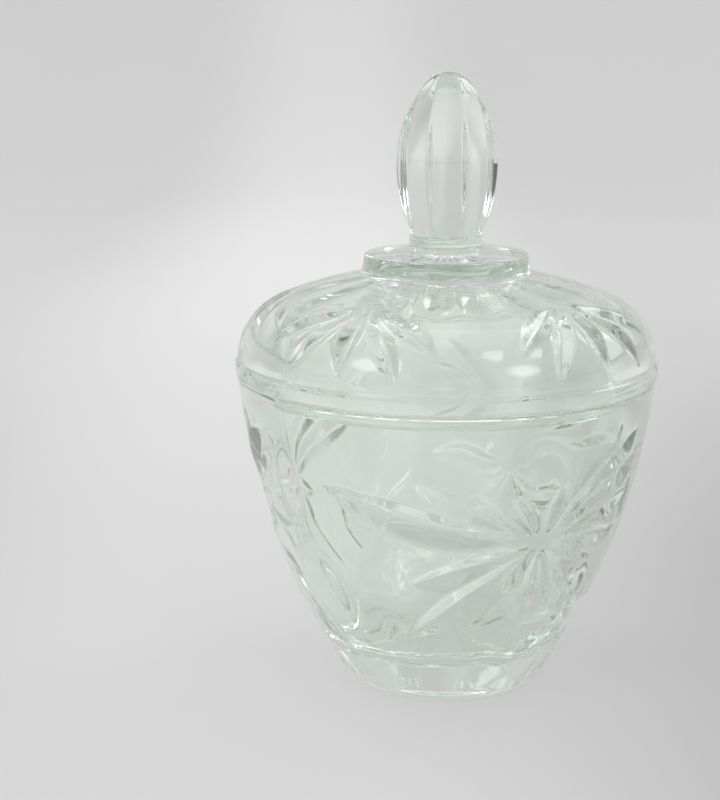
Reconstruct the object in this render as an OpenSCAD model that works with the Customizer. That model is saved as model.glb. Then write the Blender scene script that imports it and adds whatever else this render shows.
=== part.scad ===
// Lidded dappen dish of clear pressed glass: a footed dish and a lift-off lid.
// The origin is at the middle of the foot, +Z is up and -Y is the front.

/* [Dish] */
// Height of the dish from its foot to its rim
dish_h = 67; // [57:0.5:80]
// Outer diameter of the rim
rim_d = 88.4; // [78:0.2:100]
// Diameter of the foot, as if its edge were sharp
foot_d = 42.6; // [40:0.2:50]
// How far the side bows out from a straight line between foot and rim
side_bow = 4.3; // [2.5:0.1:6]
// Thickness of the side wall
dish_wall = 4.6; // [4:0.1:6]
// Thickness of the floor under the hollow
floor_t = 10; // [7:0.5:13]
// Radius where the hollow's floor turns up into its wall
hollow_round = 9; // [5:0.5:12]
// Rounding of the foot's outer edge
foot_round = 4.5; // [2:0.1:5]

/* [Lid] */
// Diameter of the lid's edge
lid_d = 89.2; // [78.8:0.2:101]
// Height of the upright band at the lid's edge
edge_h = 3; // [2:0.1:5]
// How far the dome steps in above that band
edge_step = 0.4; // [0.2:0.1:1]
// Radius of the dome's shoulder
shoulder_r = 14; // [11:0.5:17]
// Radius of the dome's shallow crown
crown_r = 100; // [80:1:140]
// Thickness of the dome under its crown
lid_wall = 4.5; // [4:0.1:6]
// Radius of the shoulder inside the dome
lid_hollow_round = 10; // [6:0.5:11]
// How far the ring under the lid reaches into the dish's mouth
ring_h = 3.3; // [2:0.1:5]
// Thickness of that ring
ring_wall = 3; // [2.4:0.1:4]
// Gap all round between that ring and the mouth
ring_clear = 0.6; // [0.3:0.1:1]

/* [Knob] */
// Diameter of the collar's top edge
collar_d = 34.2; // [28:0.2:40]
// How much wider the collar is at its foot
collar_flare = 1.6; // [0.4:0.2:3]
// Height of the collar's upright side
collar_h = 4.4; // [2:0.1:7]
// Rise of the collar's sloping top up to the neck
collar_rise = 1.4; // [0.6:0.1:3]
// Diameter of the neck ring under the bud
neck_d = 15.6; // [14:0.2:20]
// Height of the neck ring
neck_h = 2.4; // [1.4:0.1:4]
// Turn of the bud's front flat from the front, counted towards +X
bud_turn = -3; // [-30:1:30]
// Width of the eight-sided bud across its flats
bud_w = 21.2; // [17:0.2:26]
// Height of the bud above the neck ring
bud_h = 33; // [26:0.2:35]
// Height of the bud's widest place above the neck ring
bud_belly = 14; // [12:0.2:16]
// Radius of the bud's bowed flats, seen from the side
bud_bow = 27; // [26:1:40]
// Radius of the bud's round tip
bud_tip = 8.6; // [7.6:0.1:9.6]

/* [Pattern] */
// Number of stars round the dish
star_count = 3; // [2:1:3]
// Turn of the first star from the front, counted towards +X
star_turn = 25; // [-60:1:60]
// Height of the star's middle
star_z = 40.6; // [33:0.2:45]
// Depth of a star's longest rays
star_depth = 2.1; // [1:0.1:2.5]
// Width of a star's ray as a share of its length
star_slim = 0.25; // [0.15:0.01:0.32]
// Width that no star's ray passes
star_ray_w = 8.4; // [5:0.2:10]
// Turn of the long low groove's near end from the front, counted towards +X
low_turn = 21; // [0:1:40]
// Height of its near end
low_z = 21.6; // [19:0.2:24]
// How steeply it falls from there
low_fall = 20; // [5:1:25]
// Its length
low_length = 42; // [30:1:46]
// Its depth half-way along
low_depth = 2.6; // [1.5:0.1:3]
// Its width half-way along
low_w = 15; // [8:0.5:16]
// The share of its width that lies above its valley
low_share = 0.3; // [0.25:0.05:0.5]
// Number of fans round the lid
fan_count = 5; // [3:1:6]
// Turn of the first fan from the front, counted towards +X
fan_turn = 41; // [-60:1:60]
// Distance of a fan's middle from the lid's axis
fan_r = 30.5; // [27:0.5:32]
// Depth of a fan's rays
fan_depth = 1.4; // [0.8:0.1:2]
// Width of a fan's ray
fan_ray_w = 5.2; // [3:0.2:6]

/* [Hidden] */
$fn = 180;

// Direction on the surface, 0 to the right and 90 up, and length of each ray of a star
star_rays = [
    [34, 32], [23, 30], [9, 27], [-11, 24], [-27, 17], [-50, 23], [-74, 18], [-89, 17],
    [-122, 17], [-132, 36], [-155, 27], [174, 46], [157, 29], [143, 17], [125, 13], [75, 12]
];
// Direction on the surface, 0 straight out to the edge, and length of each ray of a fan
fan_rays = [[-62, 21], [-37, 22], [0, 18.5], [37, 22], [62, 21]];
// Longest straight piece of a ray's valley
ray_step = 8;
// Plain spot in the middle of a pattern, where no ray begins
ray_eye = 2.4;
// How far a ray's cutter stands out of the glass: at its sides, along its ridge and at its ends
ray_lift = 1;
ray_ridge = 4;
ray_end = 0.2;
// More than any radius of the glass, for drawing areas without an end
far = rim_d + lid_d;
glass = [0.82, 0.88, 0.85, 0.45];

rim_r = rim_d / 2;
foot_r = foot_d / 2;
// The side is an arc through the foot's edge and the rim's edge
side_chord = norm([rim_r - foot_r, dish_h]);
side_r = (pow(side_chord / 2, 2) + pow(side_bow, 2)) / (2 * side_bow);
side_lean = atan2(rim_r - foot_r, dish_h);
side_centre = [
    (rim_r + foot_r) / 2 - (side_r - side_bow) * cos(side_lean),
    dish_h / 2 + (side_r - side_bow) * sin(side_lean)
];
hollow_side_r = side_r - dish_wall;
mouth_r = side_centre.x + sqrt(pow(hollow_side_r, 2) - pow(dish_h - side_centre.y, 2));

seat_z = dish_h;
lid_r = lid_d / 2;
dome_r = lid_r - edge_step;
ring_r = mouth_r - ring_clear;
lid_hollow_r = ring_r - ring_wall;
lid_hollow_crown_r = crown_r - lid_wall;
// The crown's centre lies on the axis, where crown and shoulder meet without a corner
shoulder = [dome_r - shoulder_r, seat_z + edge_h];
crown_z = shoulder.y - sqrt(pow(crown_r - shoulder_r, 2) - pow(shoulder.x, 2));
crown_end = asin(shoulder.x / (crown_r - shoulder_r));

collar_r = collar_d / 2;
collar_foot_r = collar_r + collar_flare / 2;
neck_r = neck_d / 2;
collar_foot_z = crown_z + sqrt(pow(crown_r, 2) - pow(collar_foot_r, 2));
collar_z = collar_foot_z + collar_h;
neck_z = collar_z + collar_rise;
bud_z = neck_z + neck_h;
// How deep the bud is rooted in the neck ring
bud_root = neck_h / 2;

// A unit direction in a half section, counted from the outward axis
function aim(angle) = [cos(angle), sin(angle)];

// Radius and height of a point: t is the length up the side from the foot, out stands off the glass
function side_at(t, out) = side_centre
    + (side_r + out) * aim(asin(-side_centre.y / side_r) + t / side_r * 180 / PI);
function side_length(z) = side_r * PI / 180
    * (asin((z - side_centre.y) / side_r) - asin(-side_centre.y / side_r));

// Radius and height of a point: t is the length down the dome from the axis
function dome_at(t, out) = let (crown_t = crown_r * crown_end * PI / 180) t < crown_t
    ? [0, crown_z] + (crown_r + out) * aim(90 - t / crown_r * 180 / PI)
    : shoulder + (shoulder_r + out) * aim(90 - crown_end - (t - crown_t) / shoulder_r * 180 / PI);

// A half section's point turned round the axis from the front
function turned(p, turn) = [p.x * sin(turn), -p.x * cos(turn), p.y];

// A pattern is drawn on the unrolled cone that touches the glass at the pattern's middle, x round, y along.
// Gives turn and length along the section from the middle, where the cone has radius r and grows by spread.
function unrolled(x, y, r, spread) = let (slant = r / spread)
    [atan2(x, slant + y) / spread, norm([x, slant + y]) - slant];

// Places on the glass round a pattern's middle, where x, y and out are right-handed
function on_dish(turn, z) =
    let (t = side_length(z), r = side_at(t, 0).x, spread = (side_centre.y - z) / side_r)
        function (x, y, out)
            let (p = unrolled(x, y, r, spread)) turned(side_at(t + p.y, out), turn + p.x);
function on_dome(turn, r) =
    let (lean = asin(r / crown_r), t = crown_r * lean * PI / 180)
        function (x, y, out)
            let (p = unrolled(x, y, r, cos(lean))) turned(dome_at(t + p.y, out), turn - p.x);

// Everything past a round corner of a half section, between two directions from the round's centre
module past_round(centre, r, from, to) {
    translate(centre)
        difference() {
            polygon([[0, 0], far * aim(from), far * aim((from + to) / 2), far * aim(to)]);
            circle(r);
        }
}

// Cutter for one leaf-shaped ray: a V-shaped groove, deepest and widest half-way along, with a share of its
// width on the left of its valley. Its rings of four points go out from near the pattern's middle, and its
// ends stand clear of the glass.
module ray(on_glass, angle, length, depth, width, share = 1 / 2) {
    pieces = 2 * ceil(length / ray_step / 2);
    left = width * share / depth;
    right = width / depth - left;
    rings = [
        for (i = [0 : pieces])
            let (
                along = ray_eye + (length - ray_eye) * i / pieces,
                dip = (depth + ray_end) * 4 * i * (pieces - i) / pow(pieces, 2) - ray_end,
                tall = dip + ray_lift
            )
                for (p = [[0, -dip], [-right * tall, ray_lift], [0, ray_ridge], [left * tall, ray_lift]])
                    on_glass(along * cos(angle) - p.x * sin(angle),
                        along * sin(angle) + p.x * cos(angle), p.y)
    ];
    corner_count = 4;
    walls = [
        for (i = [0 : pieces - 1], k = [0 : corner_count - 1])
            let (a = corner_count * i + k, b = corner_count * i + (k + 1) % corner_count)
                each [[a, b, a + corner_count], [b, b + corner_count, a + corner_count]]
    ];
    last = corner_count * pieces;
    ends = [[2, 1, 0], [3, 2, 0], [last, last + 1, last + 2], [last, last + 2, last + 3]];
    polyhedron(rings, concat(walls, ends));
}

module stars() {
    for (i = [0 : star_count - 1], r = star_rays) {
        width = min(star_ray_w, star_slim * r[1]);
        ray(on_dish(star_turn + i * 360 / star_count, star_z),
            r[0], r[1], star_depth * width / star_ray_w, width);
    }
}

module low_groove() {
    ray(on_dish(low_turn, low_z), -low_fall, low_length, low_depth, low_w, low_share);
}

module fans() {
    for (i = [0 : fan_count - 1], r = fan_rays)
        ray(on_dome(fan_turn + i * 360 / fan_count, fan_r), 90 - r[0], r[1], fan_depth, fan_ray_w);
}

// Half section of a dome with a shallow crown and a round shoulder, down to a base height
module dome_section(r, round_r, top_r, base_z) {
    round_x = r - round_r;
    round_z = crown_z + sqrt(pow(top_r - round_r, 2) - pow(round_x, 2));
    intersection() {
        translate([0, base_z])
            square(far);
        union() {
            intersection() {
                translate([0, crown_z])
                    circle(top_r);
                translate([0, crown_z])
                    polygon([[0, 0], far * aim(90 - asin(round_x / (top_r - round_r))), [0, far]]);
            }
            translate([round_x, round_z])
                circle(round_r);
            translate([0, base_z])
                square([r, round_z - base_z]);
        }
    }
}

module dish() {
    hollow_round_z = floor_t + hollow_round;
    hollow_round_x = side_centre.x
        + sqrt(pow(hollow_side_r - hollow_round, 2) - pow(hollow_round_z - side_centre.y, 2));
    hollow_lean = atan2(hollow_round_z - side_centre.y, hollow_round_x - side_centre.x);
    foot_round_x = side_centre.x
        + sqrt(pow(side_r - foot_round, 2) - pow(foot_round - side_centre.y, 2));
    foot_lean = atan2(foot_round - side_centre.y, foot_round_x - side_centre.x);
    color(glass)
        difference() {
            rotate_extrude()
                difference() {
                    intersection() {
                        square([far, dish_h]);
                        translate(side_centre)
                            circle(side_r);
                    }
                    past_round([foot_round_x, foot_round], foot_round, -90, foot_lean);
                    difference() {
                        intersection() {
                            translate([0, floor_t])
                                square(far);
                            translate(side_centre)
                                circle(hollow_side_r);
                        }
                        past_round([hollow_round_x, hollow_round_z], hollow_round, -90, hollow_lean);
                    }
                }
            stars();
            low_groove();
        }
}

// Side view of the bud, bowed between its two flats
module bud_section() {
    intersection() {
        translate([-far / 2, -bud_root])
            square([far, bud_root + bud_h]);
        translate([bud_w / 2 - bud_bow, bud_belly])
            circle(bud_bow);
        translate([bud_bow - bud_w / 2, bud_belly])
            circle(bud_bow);
    }
}

module bud() {
    intersection() {
        rotate_extrude()
            intersection() {
                translate([0, -bud_root])
                    square([far, bud_root + bud_h]);
                union() {
                    translate([0, -bud_root])
                        square([far, bud_root + bud_h - bud_tip]);
                    translate([0, bud_h - bud_tip])
                        circle(bud_tip);
                }
            }
        intersection_for (turn = [0 : 45 : 135])
            rotate(turn + bud_turn)
                rotate([90, 0, 0])
                    linear_extrude(2 * bud_w, center = true)
                        bud_section();
    }
}

module lid() {
    color(glass)
        difference() {
            union() {
                rotate_extrude()
                    difference() {
                        union() {
                            dome_section(dome_r, shoulder_r, crown_r, seat_z);
                            translate([0, seat_z])
                                square([lid_r, edge_h]);
                            translate([0, seat_z - ring_h])
                                square([ring_r, ring_h]);
                        }
                        dome_section(lid_hollow_r, lid_hollow_round, lid_hollow_crown_r, seat_z - ring_h);
                    }
                rotate_extrude()
                    polygon([
                        [0, collar_foot_z], [collar_foot_r, collar_foot_z],
                        [collar_r, collar_z], [neck_r, neck_z], [neck_r, bud_z], [0, bud_z]
                    ]);
                translate([0, 0, bud_z])
                    bud();
            }
            fans();
        }
}

dish();
lid();
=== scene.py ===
import math

import bpy
import numpy as np
from mathutils import Matrix


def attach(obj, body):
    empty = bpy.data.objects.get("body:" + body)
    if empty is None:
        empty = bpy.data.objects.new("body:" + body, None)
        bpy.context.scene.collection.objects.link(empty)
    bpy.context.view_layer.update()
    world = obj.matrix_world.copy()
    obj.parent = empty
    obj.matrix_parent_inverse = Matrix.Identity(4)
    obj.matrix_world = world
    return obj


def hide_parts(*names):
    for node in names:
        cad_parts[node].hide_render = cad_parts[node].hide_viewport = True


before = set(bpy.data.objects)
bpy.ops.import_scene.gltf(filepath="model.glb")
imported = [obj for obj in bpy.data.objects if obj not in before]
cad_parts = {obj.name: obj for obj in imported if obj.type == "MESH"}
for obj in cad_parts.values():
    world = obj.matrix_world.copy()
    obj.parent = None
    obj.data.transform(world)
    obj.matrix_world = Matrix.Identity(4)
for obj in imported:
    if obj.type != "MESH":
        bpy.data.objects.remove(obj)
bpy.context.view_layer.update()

# Sizes in millimetres, as the solids have them
MM = 0.001
DISH_H, RIM_D, FOOT_D, SIDE_BOW = 67, 88.4, 42.6, 4.3
DISH_WALL, FLOOR_T, HOLLOW_ROUND, FOOT_ROUND = 4.6, 10, 9, 4.5
LID_D, EDGE_H, EDGE_STEP, SHOULDER_R, CROWN_R = 89.2, 3, 0.4, 14, 100
LID_WALL, LID_HOLLOW_ROUND, RING_H, RING_WALL, RING_CLEAR = 4.5, 10, 3.3, 3, 0.6
COLLAR_D, COLLAR_FLARE, COLLAR_H, COLLAR_RISE = 34.2, 1.6, 4.4, 1.4
NECK_D, NECK_H = 15.6, 2.4
STAR_COUNT, STAR_TURN, STAR_Z = 3, 25, 40.6
STAR_DEPTH, STAR_SLIM, STAR_RAY_W = 2.1, 0.25, 8.4
LOW_TURN, LOW_Z, LOW_FALL, LOW_LENGTH, LOW_DEPTH, LOW_W, LOW_SHARE = 21, 21.6, 20, 42, 2.6, 15, 0.3
FAN_COUNT, FAN_TURN, FAN_R, FAN_DEPTH, FAN_RAY_W = 5, 41, 30.5, 1.4, 5.2
# Direction on the surface, 0 to the right and 90 up, and length of each ray of a star
STAR_RAYS = [
    (34, 32), (23, 30), (9, 27), (-11, 24), (-27, 17), (-50, 23), (-74, 18), (-89, 17),
    (-122, 17), (-132, 36), (-155, 27), (174, 46), (157, 29), (143, 17), (125, 13), (75, 12),
]
# Direction from straight out to the edge, and length of each ray of a fan
FAN_RAYS = [(-62, 21), (-37, 22), (0, 18.5), (37, 22), (62, 21)]
RAY_EYE = 2.4

# The bud's skin, finer than that of the solids: turn of its front panel, width across panels, height,
# height of its widest place, and how much of its height has rows that stand closer together
BUD_TURN, BUD_W, BUD_H, BUD_BELLY, BUD_TIP = -3, 21.2, 33, 15, 8.6
# The egg that the panels are pressed into: its radius at the widest place, and its reach below that
BUD_EGG_R, BUD_LOWER = 11.3, 20
# The panels: how many, the radius of their bow above and below the widest place, and how hollow they are
BUD_SIDES, BUD_BOW, BUD_LOW_BOW, BUD_DIP = 8, 21, 33, 0.55
# How crisp the ridges are along the panels and at the tip, and the share of the height where they begin
# to fade
BUD_CRISP, BUD_TIP_CRISP, BUD_FADE = 100, 14, 0.6

# Thin air between rim and lid, soft fire-polished edges, and how soft a pressed ray is at its edge and in
# its valley
SEAT_AIR = 0.12
EDGE_SOFT = 0.6
RAY_SOFT_EDGE, RAY_SOFT_VALLEY = 0.35, 0.2
# Slow waves of the skin that the plunger left inside: depth in the dish and in the lid, and for each wave
# its number round the axis, its turn for each millimetre of height, and its start
DISH_SWAY, LID_SWAY = 0.16, 0.08
SWAYS = ((9, 0.21, 0.6), (13, -0.17, 2.1), (17, 0.11, 4.0), (6, 0.34, 1.2))
# Columns of faces round the axis
COLUMNS = 512

# Clear, faintly green soda glass: its surface, and the tint that light takes on its way through
GLASS_COLOUR, GLASS_IOR = (0.945, 0.98, 0.947, 1), 1.5
GLASS_TINT, GLASS_TINT_DENSITY = (0.70, 0.77, 0.71, 1), 6.0
# Waves that only the shading has: their length on the dish and on the lid, and their depth. Then the size
# of the skin's grain, and how dull it is at most
DISH_WAVE_MM, LID_WAVE_MM, WAVE_DEPTH = 16, 14, 0.10
GRAIN_MM, DULLEST = 3.5, 0.07

# Painted levels of the paper sweep: painted shade in front, a painted pool of light behind the object, and
# the painted shade that darkens it on the back wall and to the sides
SWEEP_FRONT_PAINTED_SHADE, SWEEP_PAINTED_POOL, WALL_PAINTED_SHADE, SIDE_PAINTED_SHADE = 0.69, 0.84, 0.13, 0.24
# The share of that painted level which the sweep shows by itself, as its own glow
SWEEP_OWN = 0.75
# Levels of the room in front and behind. Then its dark flags and its windows: turn from the front, height,
# half width in degrees at full level and in all, and the level
ROOM_FRONT, ROOM_BACK = 0.62, 0.78
FLAGS = ((0, 5, 10, 36, -0.52), (-92, 8, 14, 34, -0.62), (60, 10, 8, 24, -0.5))
WINDOWS = ((-50, 38, 4, 13, 4.6), (42, 30, 3, 11, 5.0), (125, 40, 5, 16, 4.0), (-130, 45, 5, 16, 4.0))
SOFTBOX_PLACE, SOFTBOX_TARGET, SOFTBOX_SIZE, SOFTBOX_WATTS = (0, 0.1, 1.6), (0, 0, 0.06), (1.2, 1.0), 3

CAMERA_PLACE, CAMERA_PITCH, CAMERA_ROLL = (-0.018192, -0.293181, 0.129072), 13.182, -0.2
LENS, SENSOR = 63, 36
# Light goes back and forth many times inside thick glass
BOUNCES = 32


def aim(degrees):
    return np.array([math.cos(math.radians(degrees)), math.sin(math.radians(degrees))])


def heading(p, q):
    return math.degrees(math.atan2(q[1] - p[1], q[0] - p[0]))


def unit(vector):
    return vector / np.linalg.norm(vector)


# The dish's side is an arc through the foot's edge and the rim's edge
rim_r, foot_r = RIM_D / 2, FOOT_D / 2
side_chord = math.hypot(rim_r - foot_r, DISH_H)
side_r = (side_chord ** 2 / 4 + SIDE_BOW ** 2) / (2 * SIDE_BOW)
side_lean = math.degrees(math.atan2(rim_r - foot_r, DISH_H))
side_centre = np.array([(rim_r + foot_r) / 2, DISH_H / 2]) + (side_r - SIDE_BOW) * aim(180 - side_lean)
hollow_side_r = side_r - DISH_WALL
foot_angle = math.degrees(math.asin(-side_centre[1] / side_r))


def side_x(z, inset):
    """Distance from the axis of the side's arc, drawn inset, at a height."""
    return side_centre[0] + math.sqrt((side_r - inset) ** 2 - (z - side_centre[1]) ** 2)


def side_length(angle):
    """Length up the side from the foot's edge to a direction from the arc's centre."""
    return side_r * math.radians(angle - foot_angle)


mouth_r = side_x(DISH_H, DISH_WALL)
ring_r = mouth_r - RING_CLEAR
lid_hollow_r = ring_r - RING_WALL
lid_r = LID_D / 2
dome_r = lid_r - EDGE_STEP
shoulder = np.array([dome_r - SHOULDER_R, DISH_H + EDGE_H])
crown_z = shoulder[1] - math.sqrt((CROWN_R - SHOULDER_R) ** 2 - shoulder[0] ** 2)
crown_end = math.degrees(math.asin(shoulder[0] / (CROWN_R - SHOULDER_R)))
crown_run = CROWN_R * math.radians(crown_end)
collar_r, neck_r = COLLAR_D / 2, NECK_D / 2
collar_foot_r = collar_r + COLLAR_FLARE / 2
collar_foot_z = crown_z + math.sqrt(CROWN_R ** 2 - collar_foot_r ** 2)
collar_z = collar_foot_z + COLLAR_H
neck_z = collar_z + COLLAR_RISE
bud_z = neck_z + NECK_H


class Section:
    """Rows of a round piece, from its axis along the section and back to the axis, with the glass on the
    left. A row is radius, height, the surface's direction, its run along a patterned skin, and how far it
    sways."""

    PLAIN = -1000

    def __init__(self):
        self.rows = []

    def add(self, point, out=(0, 0), run=PLAIN, sway=0):
        same_place = 1e-6
        if self.rows and math.dist(point, self.rows[-1][:2]) < same_place:
            if run == self.PLAIN:
                return
            self.rows.pop()
        self.rows.append((*point, *out, run, sway))

    def arc(self, centre, r, start, end, rows, sway=0, fade=False):
        """An arc. Where it fades, its sway grows from nothing over its first quarter."""
        for angle, share in zip(np.linspace(start, end, rows), np.linspace(0, 1, rows)):
            grown = min(1, 4 * share) if fade else 1
            self.add(np.array(centre) + r * aim(angle), aim(angle), sway=sway * grown)

    def skin(self, centre, r, start, end, rows, run):
        """An arc that takes the pressed pattern; run gives its length from an angle."""
        for angle in np.linspace(start, end, rows):
            self.add(np.array(centre) + r * aim(angle), aim(angle), run(angle))

    def corners(self, points, rounds, rows=5):
        """Straight stretches between points, with a round at each point but the first and the last."""
        points = [np.array(p, float) for p in points]
        self.add(points[0])
        for before, here, after, r in zip(points, points[1:], points[2:], rounds):
            a, b = unit(before - here), unit(after - here)
            half = math.acos(np.clip(a @ b, -1, 1)) / 2
            centre = here + unit(a + b) * r / math.sin(half)
            start = heading(centre, here + a * r / math.tan(half))
            end = heading(centre, here + b * r / math.tan(half))
            self.arc(centre, r, start, start + (end - start + 180) % 360 - 180, rows)
        self.add(points[-1])


def dish_section():
    s = Section()
    flat_rows = 6
    foot_round_x = side_x(FOOT_ROUND, FOOT_ROUND)
    foot_turn = heading(side_centre, (foot_round_x, FOOT_ROUND))
    lip_z = DISH_H - SEAT_AIR - EDGE_SOFT
    lip = (side_x(lip_z, EDGE_SOFT), lip_z)
    lip_turn = heading(side_centre, lip)
    mouth = (side_x(lip_z, DISH_WALL - EDGE_SOFT), lip_z)
    mouth_turn = heading(side_centre, mouth)
    round_z = FLOOR_T + HOLLOW_ROUND
    round_x = side_x(round_z, DISH_WALL + HOLLOW_ROUND)
    round_turn = heading(side_centre, (round_x, round_z))
    for share in np.linspace(0, 1, flat_rows):
        s.add((share * foot_round_x, 0))
    s.arc((foot_round_x, FOOT_ROUND), FOOT_ROUND, -90, foot_turn, rows=7)
    s.skin(side_centre, side_r, foot_turn, lip_turn, rows=132, run=side_length)
    s.arc(lip, EDGE_SOFT, lip_turn, 90, rows=6)
    s.arc(mouth, EDGE_SOFT, 90, 180 + mouth_turn, rows=6)
    s.arc(side_centre, hollow_side_r, mouth_turn, round_turn, rows=24, sway=DISH_SWAY, fade=True)
    s.arc((round_x, round_z), HOLLOW_ROUND, round_turn, -90, rows=9, sway=DISH_SWAY)
    for share in np.linspace(1, 0, flat_rows):
        s.add((share * round_x, FLOOR_T), (0, -1), sway=DISH_SWAY * share ** 2)
    return s.rows


def lid_section():
    s = Section()
    inner_r = CROWN_R - LID_WALL
    round_x = lid_hollow_r - LID_HOLLOW_ROUND
    round_z = crown_z + math.sqrt((inner_r - LID_HOLLOW_ROUND) ** 2 - round_x ** 2)
    round_turn = heading((0, crown_z), (round_x, round_z))
    seat_z, ring_z, edge_z = DISH_H + SEAT_AIR, DISH_H - RING_H, DISH_H + EDGE_H
    softer, crisper, crispest = 1.4 * EDGE_SOFT, 0.6 * EDGE_SOFT, 0.3 * EDGE_SOFT
    s.arc((0, crown_z), inner_r, 90, round_turn, rows=10, sway=LID_SWAY, fade=True)
    s.arc((round_x, round_z), LID_HOLLOW_ROUND, round_turn, 0, rows=9, sway=LID_SWAY)
    s.corners(
        [
            (lid_hollow_r, round_z), (lid_hollow_r, ring_z), (ring_r, ring_z), (ring_r, seat_z),
            (lid_r, seat_z), (lid_r, edge_z), (dome_r, edge_z + EDGE_STEP), (dome_r, edge_z + 2 * EDGE_STEP),
        ],
        [softer, softer, crisper, EDGE_SOFT, crisper, crispest],
    )
    rise = math.degrees(math.asin(2 * EDGE_STEP / SHOULDER_R))
    s.skin(shoulder, SHOULDER_R, rise, 90 - crown_end, rows=40,
           run=lambda angle: crown_run + SHOULDER_R * math.radians(90 - crown_end - angle))
    collar_turn = heading((0, crown_z), (collar_foot_r + EDGE_SOFT, collar_foot_z))
    s.skin((0, crown_z), CROWN_R, 90 - crown_end, collar_turn, rows=26,
           run=lambda angle: CROWN_R * math.radians(90 - angle))
    s.corners(
        [
            s.rows[-1][:2], (collar_foot_r, collar_foot_z), (collar_r, collar_z), (neck_r, neck_z),
            (neck_r, bud_z), (neck_r - 1, bud_z),
        ],
        [0.7 * EDGE_SOFT, softer, EDGE_SOFT, EDGE_SOFT],
    )
    return s.rows


def bud_rows():
    """Heights of the bud's rows above the neck ring, closer together round its tip."""
    tip_z = BUD_H - BUD_TIP
    upright = np.linspace(0, tip_z, 26)
    return [*upright, *(tip_z + BUD_TIP * math.sin(a) for a in np.linspace(0, math.pi / 2, 22)[1:])]


def bud_reach(z, turns):
    """Distance of the bud's skin from the axis: an egg with long hollow panels pressed into it.
    The ridges between the panels are crisp, and they fade into a round tip."""
    fade = min(max(z / BUD_H - BUD_FADE, 0) / (1 - BUD_FADE), 1)
    crisp = BUD_CRISP + (BUD_TIP_CRISP - BUD_CRISP) * fade
    upper = z > BUD_BELLY
    rise = (z - BUD_BELLY) / (BUD_H - BUD_BELLY if upper else BUD_LOWER)
    egg = BUD_EGG_R * math.sqrt(max(1 - rise ** 2, 1e-10))
    panel = BUD_W / 2 - (z - BUD_BELLY) ** 2 / 2 / (BUD_BOW if upper else BUD_LOW_BOW)
    middles = math.radians(BUD_TURN) + np.arange(BUD_SIDES) * 2 * math.pi / BUD_SIDES
    away = (turns[:, None] - middles + math.pi) % (2 * math.pi) - math.pi
    # A panel is deepest in its middle, and keeps its curve for a while beyond its own edges
    across = np.minimum(abs(away) / (math.pi / BUD_SIDES), 2)
    dip = BUD_DIP * math.sin(math.pi * z / BUD_H) * (1 - fade) * (1 - across ** 2)
    near = np.clip(np.cos(away), 0, 1) / (panel - dip)
    near = np.column_stack([near, np.full(len(turns), 1 / egg)])
    nearest = near.max(1)
    return 1 / (nearest * ((near / nearest[:, None]) ** crisp).sum(1) ** (1 / crisp))


def column_turns():
    return np.arange(COLUMNS) * 2 * math.pi / COLUMNS


def keep_vectors(mesh, key, vectors):
    attribute = mesh.attributes.new(key, "FLOAT_VECTOR", "POINT")
    attribute.data.foreach_set("vector", np.array(vectors, np.float32).ravel())


def turn_round(name, rows, hand, upper=()):
    """Turns a section's rows, and rows whose reach changes round the axis, into one closed skin.
    The pattern's places are kept on its points: turn, run and the way into the glass."""
    turns = column_turns()
    ring = np.stack([np.sin(turns), -np.cos(turns)], 1)
    table = []
    for r, z, out_r, out_z, run, sway in rows:
        waves = sway * sum(np.sin(count * turns + rise * z + start) for count, rise, start in SWAYS)
        table.append((r + waves * out_r, z + waves * out_z, out_r, out_z, run))
    for reach, z in upper:
        table.append((reach, np.full(COLUMNS, z), 0, 0, Section.PLAIN))
    points, turn, run, way, first = [], [], [], [], []
    for r, z, out_r, out_z, along in table:
        first.append(len(turn))
        pole = r.max() < 1e-4
        for j in range(1 if pole else COLUMNS):
            points.append((ring[j, 0] * r[j], ring[j, 1] * r[j], z[j]) if not pole else (0, 0, z[j]))
            way.append((-ring[j, 0] * out_r, -ring[j, 1] * out_r, -out_z))
            turn.append(hand * turns[j])
            run.append(along)
    sizes = np.diff([*first, len(turn)])
    faces = []
    for a, b, na, nb in zip(first, first[1:], sizes, sizes[1:]):
        for j in range(COLUMNS):
            k = (j + 1) % COLUMNS
            if na == 1:
                faces.append((a, b + k, b + j))
            elif nb == 1:
                faces.append((a + j, a + k, b))
            else:
                faces.append((a + j, a + k, b + k, b + j))
    mesh = bpy.data.meshes.new(name)
    mesh.from_pydata((np.array(points) * MM).tolist(), [], faces)
    for key, values in (("turn", turn), ("run", np.array(run) * MM)):
        mesh.attributes.new(key, "FLOAT", "POINT").data.foreach_set("value", np.array(values, np.float32))
    keep_vectors(mesh, "way", way)
    mesh.shade_smooth()
    piece = bpy.data.objects.new(name, mesh)
    bpy.context.scene.collection.objects.link(piece)
    return piece


def ray_list(name, rays):
    """A carrier with one point for each ray. Its start is the pattern's turn and run, and its direction
    there. Its shape is length, depth, and how steep it is on the left of its valley. Its cone touches the
    glass at the pattern's middle: slant length up to there, how fast its radius grows, and the steepness on
    the right."""
    mesh = bpy.data.meshes.new(name)
    mesh.from_pydata([(0, 0, 0)] * len(rays), [], [])
    starts, shapes, cones = [], [], []
    for (turn, run, r, spread), angle, length, depth, width, share in rays:
        starts.append((turn, run * MM, math.radians(angle)))
        shapes.append((length * MM, depth * MM, depth / width / share))
        cones.append((r / spread * MM, spread, depth / width / (1 - share)))
    for key, vectors in (("start", starts), ("shape", shapes), ("cone", cones)):
        keep_vectors(mesh, key, vectors)
    carrier = bpy.data.objects.new(name, mesh)
    bpy.context.scene.collection.objects.link(carrier)
    return carrier


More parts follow.
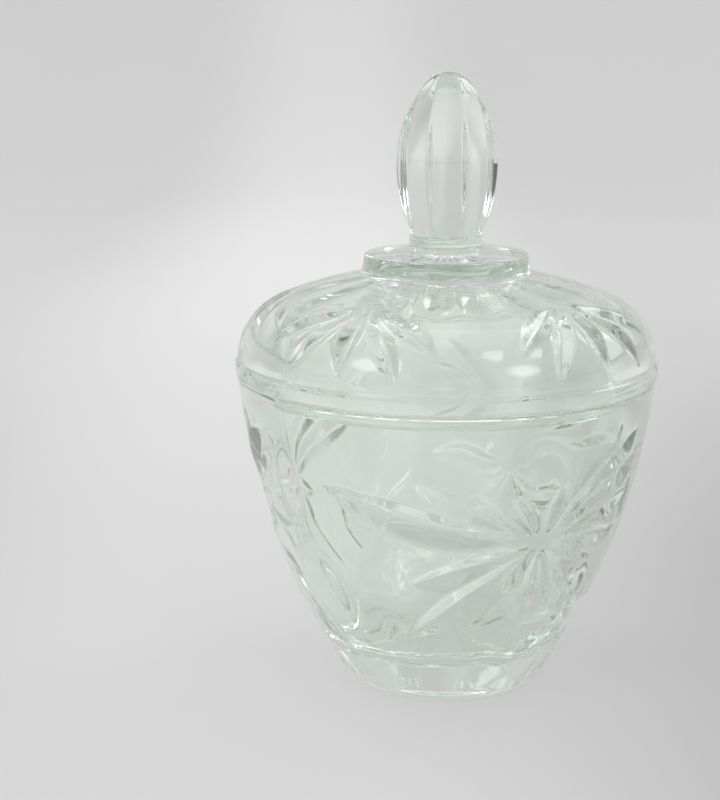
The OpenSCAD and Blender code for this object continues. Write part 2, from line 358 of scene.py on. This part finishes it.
class Nodes:
    """Short words for building a node tree: values and sockets go in, sockets come out."""

    def __init__(self, tree):
        self.tree = tree

    def put(self, socket, value):
        if isinstance(value, bpy.types.NodeSocket):
            self.tree.links.new(value, socket)
        else:
            socket.default_value = value

    def add(self, kind, settings=None, **inputs):
        node = self.tree.nodes.new(kind)
        for key, value in (settings or {}).items():
            setattr(node, key, value)
        for key, value in inputs.items():
            self.put(node.inputs[key.replace("_", " ")], value)
        return node

    def math(self, operation, *values):
        node = self.tree.nodes.new("ShaderNodeMath")
        node.operation = operation
        for socket, value in zip(node.inputs, values):
            self.put(socket, value)
        return node.outputs[0]

    def step(self, value, start, end, low, high):
        """Goes softly from one level to another while the value goes from its start to its end."""
        ramp = self.add("ShaderNodeMapRange", {"interpolation_type": "SMOOTHSTEP"}, Value=value,
                        From_Min=start, From_Max=end, To_Min=low, To_Max=high)
        return ramp.outputs["Result"]

    def parts(self, vector):
        return self.add("ShaderNodeSeparateXYZ", Vector=vector).outputs

    def attribute(self, name, kind):
        node = self.add("GeometryNodeInputNamedAttribute", {"data_type": kind})
        node.inputs["Name"].default_value = name
        return node.outputs["Attribute"]


def pressed_rays_tree():
    """Presses leaf-shaped V grooves into a skin, one for each point of a ray list."""
    tree = bpy.data.node_groups.new("pressed rays", "GeometryNodeTree")
    face = tree.interface
    face.new_socket("Geometry", in_out="INPUT", socket_type="NodeSocketGeometry")
    for name, kind in (
        ("Rays", "Object"), ("Glass", "Material"), ("Eye", "Float"),
        ("Soft Edge", "Float"), ("Soft Valley", "Float"),
    ):
        face.new_socket(name, in_out="INPUT", socket_type="NodeSocket" + kind)
    face.new_socket("Geometry", in_out="OUTPUT", socket_type="NodeSocketGeometry")
    n = Nodes(tree)
    given = tree.nodes.new("NodeGroupInput").outputs
    rays = n.add("GeometryNodeObjectInfo", Object=given["Rays"]).outputs["Geometry"]
    count = n.add("GeometryNodeAttributeDomainSize", Geometry=rays).outputs["Point Count"]
    begin, end = tree.nodes.new("GeometryNodeRepeatInput"), tree.nodes.new("GeometryNodeRepeatOutput")
    begin.pair_with_output(end)
    n.put(begin.inputs["Iterations"], count)
    n.put(begin.inputs["Geometry"], given["Geometry"])

    def of_ray(name):
        pick = n.add("GeometryNodeSampleIndex", {"data_type": "FLOAT_VECTOR"}, Geometry=rays)
        n.put(pick.inputs["Value"], n.attribute(name, "FLOAT_VECTOR"))
        n.put(pick.inputs["Index"], begin.outputs["Iteration"])
        return n.parts(pick.outputs["Value"])

    turn0, run0, angle = of_ray("start")
    length, depth, left = of_ray("shape")
    slant, spread, right = of_ray("cone")
    # The point's place on the unrolled cone, along the ray and across it
    cos, sin = n.math("COSINE", angle), n.math("SINE", angle)
    away = n.math("WRAP", n.math("SUBTRACT", n.attribute("turn", "FLOAT"), turn0), math.pi, -math.pi)
    swing = n.math("MULTIPLY", away, spread)
    out = n.math("ADD", slant, n.math("SUBTRACT", n.attribute("run", "FLOAT"), run0))
    x = n.math("MULTIPLY", out, n.math("SINE", swing))
    y = n.math("SUBTRACT", n.math("MULTIPLY", out, n.math("COSINE", swing)), slant)
    along = n.math("ADD", n.math("MULTIPLY", x, cos), n.math("MULTIPLY", y, sin))
    across = n.math("SUBTRACT", n.math("MULTIPLY", y, cos), n.math("MULTIPLY", x, sin))
    # The groove is deepest half-way between the pattern's eye and the ray's end
    u = n.math("DIVIDE", n.math("SUBTRACT", along, given["Eye"]), n.math("SUBTRACT", length, given["Eye"]))
    hump = n.math("MULTIPLY", n.math("MULTIPLY", u, 4.0), n.math("SUBTRACT", 1.0, u))
    left_side = n.math("MULTIPLY", across, left)
    right_side = n.math("MULTIPLY", n.math("MULTIPLY", across, -1.0), right)
    sides = n.math("SMOOTH_MAX", left_side, right_side, given["Soft Valley"])
    dip = n.math("SUBTRACT", n.math("MULTIPLY", depth, hump), sides)
    deepest = n.math("SMOOTH_MAX", n.attribute("dip", "FLOAT"), dip, given["Soft Edge"])
    keep = n.add("GeometryNodeStoreNamedAttribute", {"data_type": "FLOAT", "domain": "POINT"},
                 Geometry=begin.outputs["Geometry"], Name="dip", Value=deepest)
    n.put(end.inputs["Geometry"], keep.outputs["Geometry"])
    push = n.add("ShaderNodeVectorMath", {"operation": "SCALE"}, Vector=n.attribute("way", "FLOAT_VECTOR"))
    n.put(push.inputs["Scale"], n.attribute("dip", "FLOAT"))
    moved = n.add("GeometryNodeSetPosition", Geometry=end.outputs["Geometry"], Offset=push.outputs["Vector"])
    real = n.add("GeometryNodeRealizeInstances", Geometry=moved.outputs["Geometry"])
    glass = n.add("GeometryNodeSetMaterial", Geometry=real.outputs["Geometry"], Material=given["Glass"])
    n.put(tree.nodes.new("NodeGroupOutput").inputs["Geometry"], glass.outputs["Geometry"])
    return tree


def press(piece, tree, carrier, glass):
    """Runs the tree on a skin and leaves a plain mesh."""
    modifier = piece.modifiers.new("pressed rays", "NODES")
    modifier.node_group = tree
    values = {
        "Rays": carrier, "Glass": glass, "Eye": RAY_EYE * MM,
        "Soft Edge": RAY_SOFT_EDGE * MM, "Soft Valley": RAY_SOFT_VALLEY * MM,
    }
    for item in tree.interface.items_tree:
        if item.in_out == "INPUT" and item.name in values:
            modifier[item.identifier] = values[item.name]
    graph = bpy.context.evaluated_depsgraph_get()
    mesh = bpy.data.meshes.new_from_object(piece.evaluated_get(graph), depsgraph=graph)
    piece.modifiers.clear()
    old, piece.data = piece.data, mesh
    mesh.name = piece.name
    bpy.data.meshes.remove(old)
    bpy.data.objects.remove(carrier)
    for key in ("turn", "run", "way", "dip"):
        if key in mesh.attributes:
            mesh.attributes.remove(mesh.attributes[key])


def pressed_glass(name, wave_mm):
    """Clear glass with the slow waves of a pressed, fire-polished skin, here and there a little dull."""
    material = bpy.data.materials.new(name)
    material.use_nodes = True
    n = Nodes(material.node_tree)
    shader, output = (material.node_tree.nodes[k] for k in ("Principled BSDF", "Material Output"))
    shader.inputs["Base Color"].default_value = GLASS_COLOUR
    shader.inputs["Transmission Weight"].default_value = 1
    shader.inputs["IOR"].default_value = GLASS_IOR
    place = n.add("ShaderNodeTexCoord").outputs["Object"]
    slow = n.add("ShaderNodeTexNoise", Vector=place, Scale=1 / (wave_mm * MM), Detail=2.0, Roughness=0.45)
    bump = n.add("ShaderNodeBump", Strength=1.0, Distance=WAVE_DEPTH * MM, Height=slow.outputs["Fac"])
    n.put(shader.inputs["Normal"], bump.outputs["Normal"])
    grain = n.add("ShaderNodeTexNoise", Vector=place, Scale=1 / (GRAIN_MM * MM), Detail=4.0, Roughness=0.6)
    gloss = n.add("ShaderNodeMapRange", Value=grain.outputs["Fac"],
                  From_Min=0.35, From_Max=0.75, To_Min=0.0, To_Max=DULLEST)
    n.put(shader.inputs["Roughness"], gloss.outputs["Result"])
    tint = n.add("ShaderNodeVolumeAbsorption", Color=GLASS_TINT, Density=GLASS_TINT_DENSITY)
    n.put(output.inputs["Volume"], tint.outputs["Volume"])
    return material


def sweep_material():
    """Matt paper sweep with painted light on it: a painted pool of light behind the object, and painted
    shade towards its front, its sides and its back wall.
    It shows most of this painted level by itself to the eye, straight or through glass, and keeps the
    object's shadow."""
    material = bpy.data.materials.new("studio sweep")
    material.use_nodes = True
    n = Nodes(material.node_tree)
    shader = material.node_tree.nodes["Principled BSDF"]
    shader.inputs["Roughness"].default_value = 0.9
    shader.inputs["Specular IOR Level"].default_value = 0.1
    place = n.add("ShaderNodeTexCoord").outputs["Object"]
    x, y = n.parts(place)[:2]
    # Distances in metres. Painted shade darkens the sweep again from a little before its bend to near the
    # bend's end
    wall = (0.8, 1.9)
    # Painted light: a pale pool behind the object, with painted shade in front and on the back wall
    depth = n.step(y, -0.15, 0.6, SWEEP_FRONT_PAINTED_SHADE, SWEEP_PAINTED_POOL)
    depth = n.math("SUBTRACT", depth, n.step(y, *wall, 0.0, WALL_PAINTED_SHADE))
    # The painted shade at the sides is counted from a line a little left of the object, and is darkest in
    # front
    off_line = n.math("ABSOLUTE", n.math("ADD", x, 0.05))
    sides = n.math("MULTIPLY", n.step(off_line, 0.02, 0.2, 0.0, SIDE_PAINTED_SHADE), n.step(y, *wall, 1.0, 0.4))
    sides = n.math("MULTIPLY", sides, n.step(y, -0.1, 0.35, 1.4, 0.65))
    # Further out, past a line that opens towards the back, the painted side shade fades and the floor is
    # pale again
    opening = n.math("MULTIPLY", y, 0.257)
    sides = n.math("MULTIPLY", sides, n.step(n.math("SUBTRACT", x, opening), 0.08, 0.25, 1.0, -0.1))
    sides = n.math("MULTIPLY", sides, n.step(n.math("ADD", x, opening), -0.25, -0.1, 0.0, 1.0))
    fibre = n.add("ShaderNodeTexNoise", Vector=place, Scale=6.0, Detail=2.0)
    paper = n.add("ShaderNodeMapRange", Value=fibre.outputs["Fac"], To_Min=-0.01, To_Max=0.01)
    # The painted light and shade, with the paper's own faint fibre
    shade = n.math("ADD", n.math("SUBTRACT", depth, sides), paper.outputs["Result"])
    # The eye, and rays through the glass or off it, see most of the painted level as the sweep's own glow
    path = n.add("ShaderNodeLightPath").outputs
    seen = n.math("MAXIMUM", path["Is Camera Ray"], path["Is Glossy Ray"])
    seen = n.math("MAXIMUM", seen, path["Is Transmission Ray"])
    own = n.math("MULTIPLY", seen, SWEEP_OWN)
    matt = n.math("MULTIPLY", shade, n.math("SUBTRACT", 1.0, own))
    colour = n.add("ShaderNodeCombineColor", Red=matt, Green=matt, Blue=matt)
    n.put(shader.inputs["Base Color"], colour.outputs["Color"])
    shader.inputs["Emission Color"].default_value = (1, 1, 1, 1)
    n.put(shader.inputs["Emission Strength"], n.math("MULTIPLY", shade, own))
    return material


def studio_sweep():
    """A floor that curves up into a back wall, in metres, a hair under the foot."""
    bend, deep, wide, near, drop, top = 0.9, 1.1, 3.0, -2.5, -0.0002, 3.0
    line = [(near, drop), (deep, drop)]
    for a in np.linspace(0, math.pi / 2, 24)[1:]:
        line.append((deep + bend * math.sin(a), drop + bend * (1 - math.cos(a))))
    line.append((deep + bend, top))
    points = [(x, y, z) for y, z in line for x in (-wide, wide)]
    faces = [(2 * i, 2 * i + 1, 2 * i + 3, 2 * i + 2) for i in range(len(line) - 1)]
    mesh = bpy.data.meshes.new("studio_sweep")
    mesh.from_pydata(points, [], faces)
    mesh.shade_smooth()
    sweep = bpy.data.objects.new("studio_sweep", mesh)
    mesh.materials.append(sweep_material())
    bpy.context.scene.collection.objects.link(sweep)


def placed(right, up, back, place):
    """The matrix of a thing that looks away from its back."""
    return Matrix([[right[i], up[i], back[i], place[i]] for i in range(3)] + [[0, 0, 0, 1]])


def softbox(name, place, target, size, watts):
    light = bpy.data.lights.new(name, "AREA")
    light.shape, light.size, light.size_y, light.energy = "RECTANGLE", *size, watts
    lamp = bpy.data.objects.new(name, light)
    back = unit(np.array(place, float) - np.array(target, float))
    right = unit(np.cross((0, 0, 1), back))
    lamp.matrix_world = placed(right, np.cross(back, right), back, place)
    bpy.context.scene.collection.objects.link(lamp)


def studio_light():
    """A pale room with dark flags in front and at its sides, soft windows and a large soft box overhead."""
    world = bpy.data.worlds.new("pale room")
    bpy.context.scene.world = world
    world.use_nodes = True
    n = Nodes(world.node_tree)
    way = n.add("ShaderNodeTexCoord").outputs["Generated"]
    y = n.parts(way)[1]
    room = n.add("ShaderNodeMapRange", Value=y,
                 From_Min=-1.0, From_Max=0.2, To_Min=ROOM_FRONT, To_Max=ROOM_BACK)
    level = room.outputs["Result"]
    for turn, height, inner, outer, light in FLAGS + WINDOWS:
        side, rise = aim(height)
        ahead, right = aim(turn)
        facing = n.add("ShaderNodeVectorMath", {"operation": "DOT_PRODUCT"})
        n.put(facing.inputs[0], way)
        n.put(facing.inputs[1], (side * right, -side * ahead, rise))
        glow = n.step(facing.outputs["Value"], aim(outer)[0], aim(inner)[0], 0.0, light)
        level = n.math("ADD", level, glow)
    shade = n.add("ShaderNodeCombineColor", Red=level, Green=level, Blue=level)
    n.put(world.node_tree.nodes["Background"].inputs["Color"], shade.outputs["Color"])
    softbox("soft box overhead", SOFTBOX_PLACE, SOFTBOX_TARGET, SOFTBOX_SIZE, SOFTBOX_WATTS)


def camera():
    """The picture is 720 by 800, and the lens spans its longer side."""
    pitch, roll = math.radians(CAMERA_PITCH), math.radians(CAMERA_ROLL)
    right = (math.cos(roll), math.sin(roll) * math.sin(pitch), math.sin(roll) * math.cos(pitch))
    up = (-math.sin(roll), math.cos(roll) * math.sin(pitch), math.cos(roll) * math.cos(pitch))
    back = (0, -math.cos(pitch), math.sin(pitch))
    data = bpy.data.cameras.new("camera")
    data.lens, data.sensor_width = LENS, SENSOR
    data.clip_start, data.clip_end = 0.01, 20
    eye = bpy.data.objects.new("camera", data)
    eye.matrix_world = placed(right, up, back, CAMERA_PLACE)
    bpy.context.scene.collection.objects.link(eye)
    bpy.context.scene.camera = eye


def on_dish(turn, z):
    """A pattern's middle: turn, run, radius, and how fast the radius grows there."""
    run = side_length(math.degrees(math.asin((z - side_centre[1]) / side_r)))
    return math.radians(turn), run, side_x(z, 0), (side_centre[1] - z) / side_r


def star_list():
    rays = []
    for i in range(STAR_COUNT):
        middle = on_dish(STAR_TURN + i * 360 / STAR_COUNT, STAR_Z)
        for angle, length in STAR_RAYS:
            width = min(STAR_RAY_W, STAR_SLIM * length)
            rays.append((middle, angle, length, STAR_DEPTH * width / STAR_RAY_W, width, 1 / 2))
    rays.append((on_dish(LOW_TURN, LOW_Z), -LOW_FALL, LOW_LENGTH, LOW_DEPTH, LOW_W, LOW_SHARE))
    return rays


def fan_list():
    lean = math.asin(FAN_R / CROWN_R)
    rays = []
    for i in range(FAN_COUNT):
        middle = -math.radians(FAN_TURN + i * 360 / FAN_COUNT), CROWN_R * lean, FAN_R, math.cos(lean)
        rays += [(middle, 90 - angle, length, FAN_DEPTH, FAN_RAY_W, 1 / 2) for angle, length in FAN_RAYS]
    return rays


def build():
    """Makes both pieces. Seen from outside, the lid's skin runs down from its axis, so its turns count
    backwards."""
    tree = pressed_rays_tree()
    dish = turn_round("glass_dish", dish_section(), 1)
    press(dish, tree, ray_list("star rays", star_list()), pressed_glass("dish glass", DISH_WAVE_MM))
    bud = [(bud_reach(z, column_turns()), bud_z + z) for z in bud_rows()]
    lid = turn_round("glass_lid", lid_section(), -1, bud)
    press(lid, tree, ray_list("fan rays", fan_list()), pressed_glass("lid glass", LID_WAVE_MM))
    for piece, node in ((dish, "dish"), (lid, "lid")):
        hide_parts(node)
        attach(piece, node)


build()
studio_sweep()
studio_light()
camera()
bpy.context.scene.view_settings.view_transform = "Standard"
for kind in ("max", "glossy", "transmission"):
    setattr(bpy.context.scene.cycles, kind + "_bounces", BOUNCES)
